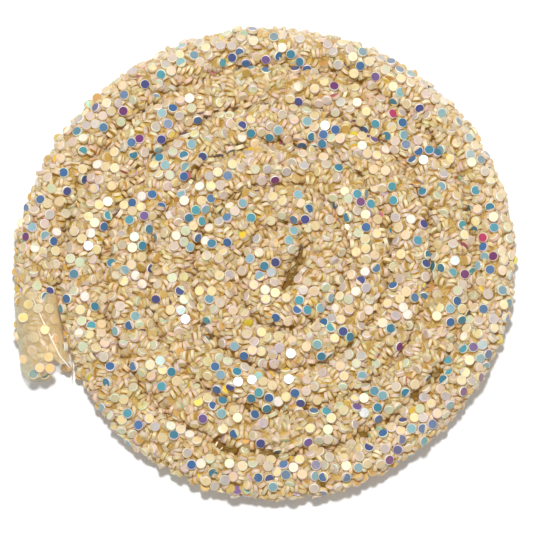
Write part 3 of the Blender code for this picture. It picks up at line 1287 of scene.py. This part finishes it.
    def flat_share(self, along: np.ndarray, round_deg: np.ndarray) -> np.ndarray:
        """How likely a disc is to lie flat at each place: most on the crest, in clumps.

        Args:
            along: Distances along the cord.
            round_deg: Angles round the section.

        Returns:
            A share from 0 to 1 for each place.
        """
        crest = np.exp(-((round_deg / self.crest_deg) ** 2))
        point = self.route.surface(along, round_deg, 0.0).point
        clump = np.array([noise.noise(Vector(p) / self.clump_mm) for p in point])
        share = self.flat_base + self.crest_flats * crest + self.clump_flats * clump
        return np.clip(share + self.rim_flats * self.backlit_rim(point, along), 0.0, 1.0)

    def backlit_rim(self, point: np.ndarray, along: np.ndarray) -> np.ndarray:
        """How much each place belongs to the rim on the coil's north and east sides, which is painted
        lighter, as if light came through the discs from behind.

        Args:
            point: The places, in mm.
            along: How far along the cord each is.

        Returns:
            A share from 0 to 1 for each place.
        """
        away = (point[:, :2] - self.route.level_centre) / self.route.outer_edge[0]
        paler = np.clip(away @ np.array(self.rim_towards) + self.rim_base, 0.0, 1.0)
        return self.outer_flank(point, along) * paler

    def outer_flank(self, point: np.ndarray, along: np.ndarray) -> np.ndarray:
        """Tell the outer side of the outermost turn from the rest.

        Args:
            point: Places, in mm.
            along: How far along the cord each is.

        Returns:
            1 for each place on that side, else 0.
        """
        middle = np.stack([self.route.read("x", along), self.route.read("y", along)], axis=1)
        side = np.sum((point[:, :2] - middle) * self.route.outward(along)[:, :2], axis=1)
        free = self.route.read("outer_wall", along) < self.free_wall
        return ((side > 0) & free).astype(float)

    def turned(self, base: np.ndarray, patch: Patch, spread: float) -> np.ndarray:
        """Tilt directions a little at random.

        Args:
            base: The directions.
            patch: The surface that they stand on.
            spread: How far they tilt, as a sine.

        Returns:
            Unit directions.
        """
        shift = self.rng.normal(0.0, spread, patch.normal.shape)
        tilted = base + shift[:, :1] * patch.normal
        tilted = tilted + shift[:, 1:2] * patch.along + shift[:, 2:] * patch.across
        return tilted / np.linalg.norm(tilted, axis=1, keepdims=True)

    def pick_lean_reflection_tints(self, axis: np.ndarray) -> np.ndarray:
        """Choose face tints by how the faces lean: the discs' own colours, picked by each face's lean to
        north or south as a painted reflection of the pearly coat.

        Args:
            axis: The discs' axes, pointing out of the cord.

        Returns:
            Linear colours, one a row.
        """
        colors = np.array([to_linear(tint.color) for tint in TINTS])
        leans = np.searchsorted(self.lean_limits, -axis[:, 1], side="right")
        picked = np.zeros((len(axis), 4))
        for number, lean in enumerate(Lean):
            rows = np.flatnonzero(leans == number)
            weights = np.array([getattr(tint, lean.value) for tint in TINTS], float)
            picked[rows] = colors[self.rng.choice(len(TINTS), len(rows), p=weights / weights.sum())]
        return self.vary(picked, self.face_spread)

    def vary(self, colors: np.ndarray, spread: float) -> np.ndarray:
        """Make colours slightly uneven.

        Args:
            colors: Linear colours, one a row.
            spread: How uneven, as a share.

        Returns:
            The uneven colours.
        """
        shade = 1 + self.rng.normal(0.0, spread, (len(colors), 1))
        hue = 1 + self.rng.normal(0.0, spread / 2, (len(colors), 3))
        varied = colors.copy()
        varied[:, :3] = np.clip(colors[:, :3] * shade * hue, 0.0, 1.0)
        return varied

    def sample(self, palette: tuple[Color, ...], count: int, spread: float = 0.06) -> np.ndarray:
        """Pick from a short palette, evenly.

        Args:
            palette: Display colours.
            count: How many.
            spread: How uneven they are made.

        Returns:
            Linear colours, one a row.
        """
        colors = np.array([to_linear(color) for color in palette])
        return self.vary(colors[self.rng.integers(len(palette), size=count)], spread)

    def zones(self, face: np.ndarray, bevel: np.ndarray, edge: np.ndarray) -> np.ndarray:
        """Stack the tints of the three zones of each disc; alpha says how glossy a zone is.

        Args:
            face: Linear colours of the flat faces, one disc a row.
            bevel: Those of the bevels.
            edge: Those of the edges.

        Returns:
            Tints by disc, zone and channel.
        """
        tints = np.stack([face, bevel, edge], axis=1)
        tints[:, 1, 3] = self.bevel_gloss
        tints[:, 2, 3] = 0.0
        return np.clip(tints, 0.0, 1.0)

    def over(self, layer: Layer, along: np.ndarray, round_deg: np.ndarray) -> Patch:
        """A layer's places, at distances along the cord and angles round it."""
        return self.route.surface(along, round_deg, layer.lift)

    def flat_discs(self) -> DiscBatch:
        """Lay the discs that lie flat on the cord's upper half.

        Returns:
            The discs.
        """
        along, round_deg = self.candidates(FLAT_LAYER)
        share = self.flat_share(along, round_deg) + self.bare_flats * self.route.bare_share(along)
        keep = self.rng.random(len(along)) < share
        along, round_deg = along[keep], round_deg[keep]
        patch = self.over(FLAT_LAYER, along, round_deg)
        rows = self.spaced(patch.point, FLAT_LAYER.spacing)
        patch, along = patch.pick(rows), along[rows]
        count = len(rows)
        axis = self.turned(patch.normal, patch, self.flat_tilt)
        bare = self.route.bare_share(along)[:, None]
        point = patch.point + patch.normal * self.unevenness(patch)
        point += patch.normal * (self.film_lift - FLAT_LAYER.lift) * bare
        face = np.where(bare > 0, self.sample(WARM_TINTS, count), self.pick_lean_reflection_tints(axis))
        tints = self.zones(face, self.sample(RIM_HIGHLIGHT_TINTS, count), self.sample(EDGE_TINTS, count))
        two_toned = self.rng.random(count)[:, None] < self.two_toned_share
        segment = np.where(two_toned, self.sample(MILKY_TINTS, count), face)
        tints = np.concatenate([tints, segment[:, None]], axis=1)
        return self.outside_gaps(DiscBatch(FLAT_SHAPE, point, axis, tints, along))

    def unevenness(self, patch: Patch) -> np.ndarray:
        """Random heights over the surface, in mm, larger on its steep sides."""
        steep = 1 - np.abs(patch.normal[:, 2:])
        return self.rng.normal(0.0, self.scatter, steep.shape) * (1 + self.side_scatter * steep)

    def in_gaps(self, batch: DiscBatch) -> tuple[np.ndarray, np.ndarray]:
        """Find the discs that lie in a gap between turns.

        Args:
            batch: Discs.

        Returns:
            How far each lies in a gap, from 0 to 1, and how deep the gap is there, in mm.
        """
        points = batch.point[:, :2] - self.route.level_centre
        shares = np.array([gap.share(points) for gap in self.gaps])
        depths = shares * np.array([gap.depth for gap in self.gaps])[:, None]
        return shares.max(axis=0), depths.max(axis=0)

    def outside_gaps(self, batch: DiscBatch) -> DiscBatch:
        """The discs of a batch that don't lie in a gap."""
        return batch.pick(self.in_gaps(batch)[0] == 0)

    def tilted_discs(self, flats: DiscBatch) -> DiscBatch:
        """The discs between lying and standing; their faces mostly look milky.

        Args:
            flats: The flat discs, which take the places that they lie on.

        Returns:
            The tilted discs.
        """
        along, round_deg = self.candidates(TILTED_LAYER)
        patch = self.over(TILTED_LAYER, along, round_deg)
        clear = self.distance_to(flats, patch.point) > FLAT_LAYER.spacing
        free = clear & (self.route.bare_share(along) == 0)
        keep = free & (self.rng.random(len(along)) < self.tilted_share)
        patch, along = patch.pick(keep), along[keep]
        rows = self.spaced(patch.point, TILTED_LAYER.spacing)
        patch, along = patch.pick(rows), along[rows]
        count = len(rows)
        tilt = np.radians(self.rng.uniform(*self.tilted_deg, count))[:, None]
        heading = self.rng.uniform(0, 2 * math.pi, count)[:, None]
        level = np.cos(heading) * patch.along + np.sin(heading) * patch.across
        axis = patch.normal * np.cos(tilt) + level * np.sin(tilt)
        point = patch.point + patch.normal * self.unevenness(patch)
        colored = self.rng.random(count)[:, None] < self.tilted_colored
        face = np.where(colored, self.pick_lean_reflection_tints(axis), self.sample(MILKY_TINTS, count))
        # painted highlight on the rims, a little dimmer on tilted discs
        rim = self.sample(RIM_HIGHLIGHT_TINTS, count) * self.tilted_rim
        tints = self.zones(face, rim, self.sample(EDGE_TINTS, count))
        return self.outside_gaps(DiscBatch(TILTED_SHAPE, point, axis, tints, along))

    def distance_to(self, batch: DiscBatch, points: np.ndarray) -> np.ndarray:
        """How far each point is from the nearest disc of a batch.

        Args:
            batch: The discs.
            points: Places, in mm.

        Returns:
            Distances to the discs' middles, in mm.
        """
        tree = kdtree.KDTree(len(batch.point))
        for number, place in enumerate(batch.point):
            tree.insert(place, number)
        tree.balance()
        return np.array([tree.find(Vector(point))[2] for point in points])

    def stacks(self, patch: Patch, along: np.ndarray, shape: DiscShape) -> DiscBatch:
        """Small stacks of discs on edge, one stack at each place.

        Args:
            patch: The places.
            along: Their distances along the cord.
            shape: The shape of each disc.

        Returns:
            The discs.
        """
        heading = self.rng.uniform(0, math.pi, len(along))[:, None]
        stack_axis = np.cos(heading) * patch.along + np.sin(heading) * patch.across
        options = np.arange(len(self.stack_odds)) + 1
        sizes = self.rng.choice(options, len(along), p=self.stack_odds)
        owner = np.repeat(np.arange(len(along)), sizes)
        place = np.concatenate([np.arange(size) - (size - 1) / 2 for size in sizes])
        patch, along, stack_axis = patch.pick(owner), along[owner], stack_axis[owner]
        count = len(owner)
        point = patch.point + stack_axis * (place * self.stack_pitch)[:, None]
        point += patch.normal * self.unevenness(patch)
        sideways = np.cross(stack_axis, patch.normal)
        point += sideways * self.rng.normal(0.0, self.scatter, (count, 1))
        axis = self.turned(stack_axis, patch, self.stack_tilt)
        # some standing discs get painted glints
        glint = self.rng.random(count)[:, None] < self.glint_share
        bright = self.sample(GLINT_TINTS, count, self.stack_face_spread)
        # painted shade: amber faces for the shade between stacked discs
        face = np.where(glint, bright, self.sample(AMBER_SHADE_TINTS, count, self.stack_face_spread))
        bevel = self.sample(BEVEL_TINTS, count, self.stack_bevel_spread)
        return DiscBatch(shape, point, axis, self.zones(face, bevel, self.sample(EDGE_TINTS, count)), along)

    def stacked_discs(self, above: list[DiscBatch]) -> DiscBatch:
        """The discs that stand on edge, in stacks side by side.

        Args:
            above: The discs that press down what is under them.

        Returns:
            The standing discs.
        """
        along, round_deg = self.candidates(STANDING_LAYER)
        patch = self.over(STANDING_LAYER, along, round_deg)
        count = int(self.route.full_length / self.seam_spacing)
        seam_along, seam = self.route.seam(count, self.seam_rise + STANDING_LAYER.lift)
        along, patch = np.concatenate([seam_along, along]), seam.joined(patch)
        tuck = self.rng.normal(0.0, 1.0, (self.tuck_count, 3)) * self.tuck_spread + self.tuck
        patch = level_patch(tuck + self.route.floor_centre).joined(patch)
        tail = self.route.full_length - self.tail_room
        along = np.concatenate([np.full(self.tuck_count, tail), along])
        rows = self.spaced(patch.point, STANDING_LAYER.spacing)
        batch = self.stacks(patch.pick(rows), along[rows], STANDING_SHAPE)
        for discs in above:
            near = self.distance_to(discs, batch.point) < self.press_reach
            batch.point[:, 2] -= np.where(near, self.sink_near_flat, 0.0)
        # painted shade toward the seams, except on the outer flank
        low = np.clip((self.seam_heights[1] - batch.point[:, 2:]) / np.ptp(self.seam_heights), 0.0, 1.0)
        low *= 1 - self.outer_flank(batch.point, batch.along)[:, None]
        batch.tints[:, :, :3] *= 1 - low[:, :, None] * (1 - np.array(self.seam_shade))
        # discs in a gap sink and take a painted shade
        share, depth = self.in_gaps(batch)
        batch.point[:, 2] = np.maximum(batch.point[:, 2] - depth, self.least_height)
        batch.tints[:, :, :3] *= 1 - share[:, None, None] * (1 - np.array(self.shade))
        return batch

    def shaded_discs(self) -> DiscBatch:
        """Strew dark discs at the bottom of the gaps as painted shadow: their tints are darkened by the
        shade.

        Returns:
            The discs.
        """
        levels, heights = [], []
        for gap in self.gaps:
            start, line = np.array(gap.start), np.subtract(gap.end, gap.start)
            count = self.shaded_least + int(self.shaded_per_mm * np.linalg.norm(line))
            share = np.linspace(0, 1, count)[:, None]
            across = self.rng.uniform(-self.shaded_across, self.shaded_across, (count, 2))
            levels.append(start + share * line + across * gap.half_width)
            rise = self.rng.uniform(-self.shaded_height, self.shaded_height, (count, 1))
            heights.append(gap.floor + rise)
        level = np.concatenate(levels) + self.route.level_centre
        patch = level_patch(np.concatenate([level, np.concatenate(heights)], axis=1))
        axis = self.turned(patch.normal, patch, self.shaded_tilt)
        face = self.sample(AMBER_SHADE_TINTS, len(level), self.stack_face_spread)
        tints = self.zones(face, face, face)
        # painted shadow
        tints[:, :, :3] *= self.shade
        middle = np.stack([self.route.table["x"], self.route.table["y"]], axis=1)
        nearest = np.linalg.norm(middle[None] - level[:, None], axis=2).argmin(axis=1)
        tail = self.route.full_length - self.tail_room
        along = np.clip(self.route.table["length"][nearest], 0.0, tail)
        return DiscBatch(SHADED_SHAPE, patch.point, axis, tints, along)

    def deep_discs(self) -> DiscBatch:
        """Set the discs under the standing ones, half sunk in the cloth.

        Returns:
            The discs.
        """
        along, round_deg = self.candidates(DEEP_LAYER)
        covered = self.route.bare_share(along) == 0
        along, round_deg = along[covered], round_deg[covered]
        patch = self.over(DEEP_LAYER, along, round_deg)
        rows = self.spaced(patch.point, DEEP_LAYER.spacing)
        batch = self.stacks(patch.pick(rows), along[rows], HIDDEN_SHAPE)
        # painted shade: darken the discs under the standing ones
        batch.tints[:, :, :3] *= self.deep_shade
        return self.outside_gaps(batch)

    def under_discs(self) -> DiscBatch:
        """Lay the discs round the cord's lower half, flat against what it rests on.

        Returns:
            The discs.
        """
        along, round_deg = self.candidates(UNDER_LAYER)
        patch = self.over(UNDER_LAYER, along, round_deg)
        rows = self.spaced(patch.point, UNDER_LAYER.spacing)
        return self.lying(patch.pick(rows), along[rows])

    def lying(self, patch: Patch, along: np.ndarray) -> DiscBatch:
        """Plain discs that lie flat on a surface.

        Args:
            patch: The places.
            along: Their distances along the cord.

        Returns:
            The discs.
        """
        count = len(along)
        axis = self.turned(patch.normal, patch, self.flat_tilt)
        face = self.pick_lean_reflection_tints(axis)
        tints = self.zones(face, self.sample(RIM_HIGHLIGHT_TINTS, count), self.sample(EDGE_TINTS, count))
        return DiscBatch(HIDDEN_SHAPE, patch.point, axis, tints, along)

    def end_discs(self) -> list[DiscBatch]:
        """Lay the discs on the two cut ends.

        Returns:
            One batch for each end.
        """
        number = np.arange(self.end_count)
        radial, turn = np.sqrt((number + 0.5) / self.end_count), number * GOLDEN_ANGLE
        batches = []
        for along, forward in ((self.end_inset, -1.0), (self.route.full_length - self.end_inset, 1.0)):
            patch = self.route.end_face(along, radial, turn, forward)
            batches.append(self.lying(patch, np.full(len(number), along)))
        return batches

    def caught_discs(self) -> DiscBatch:
        """Place the few discs that are caught in the film's mouth, past the cord's end.

        Returns:
            The discs.
        """
        table = np.array(self.caught)
        patch = level_patch(table[:, :3] + self.route.floor_centre)
        count = len(table)
        axis = self.turned(np.array(self.caught_lean), patch, self.caught_tilt)
        face = np.array([to_linear(tuple(row)) for row in table[:, 3:]])
        tints = self.zones(face, self.sample(RIM_HIGHLIGHT_TINTS, count), self.sample(EDGE_TINTS, count))
        return DiscBatch(CAUGHT_SHAPE, patch.point, axis, tints, np.full(count, self.caught_along))

    def build(self) -> list[bpy.types.Object]:
        """Build the cover, one object for each stretch of the cord.

        Returns:
            The objects.
        """
        material = DiscFinish().material()
        flats = self.flat_discs()
        tilted = self.tilted_discs(flats)
        standing = self.stacked_discs([flats, tilted])
        hidden = [self.deep_discs(), self.under_discs(), *self.end_discs()]
        batches = [flats, tilted, standing, *hidden, self.caught_discs(), self.shaded_discs()]
        # painted light: lighten the discs on the north and east rim
        milk = np.array(to_linear(self.rim_backlight))[:3]
        for batch in batches:
            share = self.rim_backlight_share * self.backlit_rim(batch.point, batch.along)[:, None, None]
            batch.tints[:, :, :3] += (milk - batch.tints[:, :, :3]) * share
        log.info("discs: %s", [len(batch.point) for batch in batches])
        limits = np.linspace(0, self.route.full_length, self.stretches + 1)
        pieces = []
        for number, (start, end) in enumerate(zip(limits, limits[1:]), 1):
            stretch = [batch.between(start, end) for batch in batches]
            piece = join_discs(f"disc_cover_{number}", stretch, material)
            pieces.append(finish_piece(piece, CORD_NODE))
        return pieces


@dataclass
class EndFilm:
    """The clear film round the cut free end: a ragged sleeve with a long crease and torn bits.

    The mouth table gives how much of the film is missing at its mouth, in mm, at places across it from
    the outer side (0) to the inner side (1). The film's lower half lacks the lower notch as well, from
    the middle of the mouth to the inner side.
    """

    route: SpiralRoute
    mouth: tuple[tuple[float, float], ...] = (
        (0.0, 3.2), (0.05, 1.6), (0.12, 0.4), (0.18, 0.3), (0.3, 0.1), (0.42, 0.0), (0.5, 0.3), (0.55, 1.4),
        (0.58, 3.4), (0.65, 3.6), (0.7, 2.9), (0.75, 2.3), (0.81, 1.4), (0.87, 2.0), (0.93, 1.7), (1.0, 2.1),
    )
    lower_notch: float = 1.4
    lower_from: float = 0.5
    lower_blend: float = 0.12
    lower_cosine: float = -0.01
    reach: float = 14.0
    start: float = -3.4
    rings: int = 30
    columns: int = 48
    wall: float = 0.08
    wrinkle: float = 0.22
    wrinkle_size: float = 2.4
    sag: float = 0.6
    floor_gap: float = 0.02
    crease_width: float = 0.38
    crease_thick: float = 0.25
    crease_rise: float = 0.1
    crease_edge_height: float = 0.6
    crease_least: float = 2.0
    above_all: float = 20.0
    ribbon_sides: int = 6
    ribbon_tip: float = 0.35
    ribbon_ease: float = 0.1
    crease: tuple[tuple[float, float], ...] = (
        (-54.1, -6.4), (-52.2, -10.6), (-50.3, -14.5), (-48.3, -18.5), (-46.3, -20.9),
    )
    crease_points: int = 24
    scrap: tuple[tuple[float, float], ...] = (
        (-48.6, -20.9), (-48.2, -19.8), (-47.5, -19.5), (-46.6, -19.8), (-45.8, -20.7), (-46.2, -21.2),
        (-46.6, -21.7), (-47.3, -21.4), (-47.9, -21.2),
    )
    scrap_height: float = 2.6
    scrap_wave: float = 0.5
    scrap_turn: float = 2.1
    scrap_hole: float = 0.5
    whisker: tuple[Triple, ...] = ((-46.4, -17.4, 4.6), (-45.9, -20.0, 4.0), (-46.0, -23.2, 3.2))
    whisker_width: float = 0.2
    whisker_thick: float = 0.16

    def sleeve(self) -> bpy.types.Object:
        """Make the sleeve, as a thin closed shell.

        Returns:
            The sleeve.
        """
        place = np.arange(self.columns)
        round_deg = place * 360 / self.columns
        across = (1 - np.sin(np.radians(round_deg))) / 2
        table = np.array(self.mouth)
        missing = np.interp(across, table[:, 0], table[:, 1])
        lower = np.cos(np.radians(round_deg)) < self.lower_cosine
        inner = np.clip((across - self.lower_from) / self.lower_blend, 0.0, 1.0)
        missing += self.lower_notch * lower * inner
        skins = []
        for inset in (0.0, self.wall):
            rings = []
            for share in np.linspace(0, 1, self.rings):
                along = self.start + missing + (self.reach - self.start - missing) * share
                patch = self.route.surface(along, round_deg, -inset, Skin.FILM)
                bumps = [noise.noise(Vector(point) / self.wrinkle_size) for point in patch.point]
                sag = self.wrinkle * (np.array(bumps) - self.sag)[:, None]
                ring = patch.point + patch.normal * sag
                ring[:, 2] = np.maximum(ring[:, 2], inset + self.floor_gap)
                rings.append(ring)
            skins.append(rings)
        loop = skins[0] + skins[1][::-1]
        mesh = grid_mesh("end_film_sleeve", np.array(loop + loop[:1]), capped=False)
        side = mesh.attributes.new("side", "FLOAT", "POINT")
        side.data.foreach_set("value", np.tile(np.sin(np.radians(round_deg)), len(loop) + 1))
        return new_object("end_film_sleeve", mesh, SLEEVE_FILM.material())

    def ribbon(
        self, name: str, path: np.ndarray, width: float, thick: float, material: bpy.types.Material
    ) -> bpy.types.Object:
        """A thin ridge along a path.

        Args:
            name: The object's name.
            path: Points in mm.
            width: How wide it is in its middle; it tapers to its ends.
            thick: How thick it is.
            material: Its material.

        Returns:
            The object.
        """
        ahead = np.gradient(path, axis=0)
        ahead /= np.linalg.norm(ahead, axis=1, keepdims=True)
        side = np.cross(ahead, UP)
        side /= np.linalg.norm(side, axis=1, keepdims=True)
        up = np.cross(side, ahead)
        swell = np.sin(np.linspace(self.ribbon_ease, math.pi - self.ribbon_ease, len(path)))
        taper = self.ribbon_tip + (1 - self.ribbon_tip) * swell
        turn = np.arange(self.ribbon_sides) * 2 * math.pi / self.ribbon_sides
        rings = (
            path[:, None, :]
            + side[:, None, :] * (np.cos(turn)[None, :] * taper[:, None] * width / 2)[:, :, None]
            + up[:, None, :] * (np.sin(turn)[None, :] * taper[:, None] * thick / 2)[:, :, None]
        )
        return new_object(name, grid_mesh(name, rings[:, ::-1], capped=True), material)

    def crease_path(self, sleeve: bpy.types.Object) -> np.ndarray:
        """Points along the crease, which runs askew over the sleeve to the mouth's inner corner.

        Args:
            sleeve: The sleeve that it lies on.

        Returns:
            The points, in mm.
        """
        table = np.array(self.crease) + self.route.level_centre
        share, knots = np.linspace(0, 1, self.crease_points), np.linspace(0, 1, len(table))
        level = np.stack([np.interp(share, knots, table[:, axis]) for axis in (0, 1)], axis=1)
        places = [vertex.co for vertex in sleeve.data.vertices]
        tree = bvhtree.BVHTree.FromPolygons(places, [face.vertices for face in sleeve.data.polygons])
        height = self.route.read("film_top", np.array([self.reach]))[0] * self.crease_edge_height
        path = []
        for x, y in level:
            hit = tree.ray_cast(Vector((x, y, self.above_all)) * MM, Vector(DOWN))[0]
            if hit is not None and hit.z > self.crease_least * MM:
                height = hit.z / MM
            path.append((x, y, height + self.crease_rise))
        return np.array(path)

    def torn_bit(self, material: bpy.types.Material) -> bpy.types.Object:
        """Make the torn flake of the film's inner flap, which hangs at the mouth.

        Args:
            material: Its material.

        Returns:
            The flake.
        """
        outline = np.array(self.scrap) + self.route.level_centre
        count = len(outline)
        heights = self.scrap_height + self.scrap_wave * np.sin(np.arange(count) * self.scrap_turn)
        low = np.concatenate([outline, heights[:, None]], axis=1)
        rings = np.stack([low, low + [0.0, 0.0, self.wall]])
        centre = rings.mean(axis=1, keepdims=True)
        inner = centre + (rings - centre) * self.scrap_hole
        loop = np.stack([inner[0], rings[0], rings[1], inner[1]])
        return new_object("end_film_scrap", grid_mesh("end_film_scrap", loop, capped=True), material)

    def build(self) -> list[bpy.types.Object]:
        """Build the film's pieces.

        Returns:
            The objects.
        """
        # the crease's material is a painted highlight
        ridge, torn = CREASE_HIGHLIGHT_FILM.material(), FLAKE_FILM.material()
        hair = np.array(self.whisker) + self.route.floor_centre
        sleeve = self.sleeve()
        path = self.crease_path(sleeve)
        crease = self.ribbon("end_film_crease", path, self.crease_width, self.crease_thick, ridge)
        whisker = self.ribbon("end_film_whisker", hair, self.whisker_width, self.whisker_thick, torn)
        pieces = [sleeve, crease, whisker, self.torn_bit(torn)]
        return [finish_piece(piece, FILM_NODE) for piece in pieces]


@dataclass
class Studio:
    """The floor, the light and the camera at the photograph's angle."""

    elevation_deg: float = 80.0
    aim: Triple = (0.451, -1.445, 5.0)
    frame_width: float = 112.5
    lens: float = 150.0
    sensor: float = 36.0
    floor_size: float = 4.0
    room_light: float = 0.38
    key_place: Triple = (-0.01, 0.07, 0.45)
    key_size: float = 0.05
    key_power: float = 1.76
    clip_share: float = 100.0

    def floor(self) -> None:
        """Lay the white surface."""
        mesh = bpy.data.meshes.new("paper_floor")
        half = self.floor_size / 2
        corners = [(-half, -half, 0), (half, -half, 0), (half, half, 0), (-half, half, 0)]
        mesh.from_pydata(corners, [], [(0, 1, 2, 3)])
        new_object("paper_floor", mesh, PaperFinish().material())

    def light(self, name: str, place: Triple, size: float, power: float) -> None:
        """Add one round soft light that faces the object.

        Args:
            name: The light's name.
            place: Where it is, in metres.
            size: How wide it is, in metres.
            power: Its power in watts.
        """
        data = bpy.data.lights.new(name, "AREA")
        data.shape, data.size, data.energy = "DISK", size, power
        lamp = bpy.data.objects.new(name, data)
        lamp.location = place
        lamp.rotation_euler = (-Vector(place)).to_track_quat("-Z", "Y").to_euler()
        bpy.context.scene.collection.objects.link(lamp)

    def lights(self) -> None:
        """Add the soft studio light."""
        world = bpy.data.worlds.new("white_room")
        world.use_nodes = True
        backdrop = world.node_tree.nodes["Background"].inputs
        backdrop["Color"].default_value = (1.0, 1.0, 1.0, 1.0)
        backdrop["Strength"].default_value = self.room_light
        bpy.context.scene.world = world
        bpy.context.scene.view_settings.view_transform = "Standard"
        self.light("key_light", self.key_place, self.key_size, self.key_power)

    def camera(self) -> None:
        """Set the camera."""
        data = bpy.data.cameras.new("camera")
        data.lens, data.sensor_width = self.lens, self.sensor
        view = math.radians(self.elevation_deg)
        back = Vector((0.0, -math.cos(view), math.sin(view)))
        distance = self.frame_width * self.lens / self.sensor * MM
        camera = bpy.data.objects.new("camera", data)
        camera.location = Vector(self.aim) * MM + back * distance
        camera.rotation_euler = (-back).to_track_quat("-Z", "Y").to_euler()
        data.clip_start, data.clip_end = distance / self.clip_share, distance * self.clip_share
        bpy.context.scene.collection.objects.link(camera)
        bpy.context.scene.camera = camera


def main() -> None:
    """Build the studio and every piece."""
    logging.basicConfig(level=logging.INFO, format="%(message)s")
    studio = Studio()
    studio.camera()
    route = SpiralRoute()
    route.survey()
    core = ClothCore(route)
    cord = core.build()
    covers = DiscCover(route).build()
    films = EndFilm(route).build()
    core.declare(covers + films)
    studio.floor()
    studio.lights()


if __name__ == "__main__":
    main()
